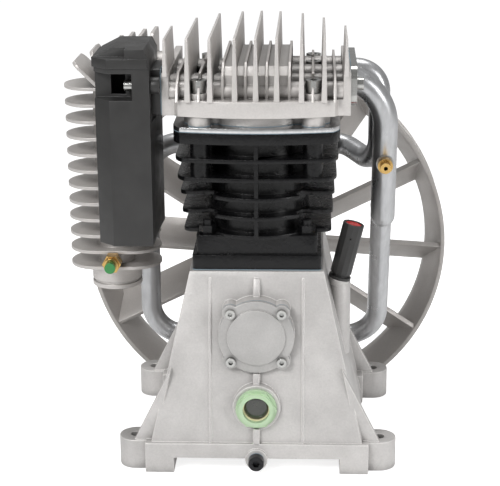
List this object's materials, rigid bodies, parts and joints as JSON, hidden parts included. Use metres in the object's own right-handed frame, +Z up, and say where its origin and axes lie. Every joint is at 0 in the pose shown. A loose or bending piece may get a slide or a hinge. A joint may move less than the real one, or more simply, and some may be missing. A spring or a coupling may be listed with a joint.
{
  "type": "two-stage air compressor pump head",
  "caption": "Two-stage belt-driven air compressor pump with finned head, intercooler pipe, aftercooler, intake filter and fan-bladed flywheel.",
  "frame": {"origin": "centre of the four foot holes on the base plane", "axes": "+X to the right seen from the cover side, +Y along the crank towards the flywheel, +Z up along the cylinders"},
  "size_m": [0.412, 0.379, 0.49],
  "materials": {
    "cast_aluminium": "sandblasted casting",
    "black_casting": "glossy black paint over rough casting",
    "plated_steel": "zinc plated",
    "dark_steel": "black oxide",
    "machined_steel": "ground",
    "pipe_metal": "silver paint, satin",
    "black_plastic": "fine grain",
    "red_plastic": "smooth",
    "green_plastic": "clear green",
    "glass_dark": "oil behind it",
    "gasket": "pressed sheet",
    "rubber": "smooth",
    "brass": "bright",
    "green_cap": "lacquered",
    "foam": "filter felt",
    "wheel_aluminium": "sandblasted casting"
  },
  "bodies": {
    "pump": {"crankcase": "cast_aluminium", "front_cover_gasket": "gasket", "front_cover": "cast_aluminium", "front_cover_screws": "plated_steel", "sight_glass_ring": "green_plastic", "sight_glass_lens": "glass_dark", "drain_washer": "gasket", "drain_plug": "dark_steel", "bearing_housing_gasket": "gasket", "bearing_housing": "cast_aluminium", "bearing_housing_screws": "plated_steel", "front_bearing": "machined_steel", "rear_bearing": "machined_steel", "shaft_seal": "rubber", "crankshaft": "machined_steel", "low_rod": "cast_aluminium", "low_rod_cap": "cast_aluminium", "high_rod": "cast_aluminium", "high_rod_cap": "cast_aluminium", "rod_bolts": "dark_steel", "low_piston": "wheel_aluminium", "high_piston": "wheel_aluminium", "piston_rings": "dark_steel", "wrist_pins": "machined_steel", "block_gasket": "gasket", "cylinder_block": "black_casting", "block_studs": "plated_steel", "valve_plate_gasket": "gasket", "valve_plate": "machined_steel", "reed_valves": "machined_steel", "head_gasket": "gasket", "cylinder_head": "cast_aluminium", "head_bolts": "plated_steel", "pipe_flange_gasket": "gasket", "pipe_flange": "plated_steel", "pipe_flange_bolts": "plated_steel", "first_stage_pipe": "pipe_metal", "intercooler_pipe": "pipe_metal", "pipe_fitting": "brass", "filter_gasket": "gasket", "filter_elbow": "black_plastic", "filter_housing": "black_plastic", "filter_back": "black_plastic", "filter_element": "foam", "filter_bolt": "plated_steel", "aftercooler_gasket": "gasket", "aftercooler": "wheel_aluminium", "aftercooler_bolts": "plated_steel", "safety_valve_body": "brass", "safety_valve_spring": "machined_steel"},
    "flywheel_body": {"flywheel": "wheel_aluminium", "flywheel_washer": "plated_steel", "flywheel_bolt": "plated_steel"},
    "valve_cap": {"safety_valve_cap": "green_cap"},
    "breather": {"breather_body": "black_plastic", "breather_insert": "red_plastic", "breather_o_ring": "rubber"}
  },
  "joints": [
    {"name": "flywheel_spin", "type": "hinge", "parent": "pump", "child": "flywheel_body", "pos_m": [0, 0.2213, 0.137], "axis": [0, 1, 0], "continuous": true},
    {"name": "safety_valve_pull", "type": "slide", "parent": "pump", "child": "valve_cap", "axis": [0, -1, 0], "range_m": [0, 0.002], "stiffness_N_per_m": 400, "springref_m": -0.004},
    {"name": "breather_lift", "type": "slide", "parent": "pump", "child": "breather", "axis": [0.2351, 0, 0.972], "range_m": [0, 0.04]}
  ]
}
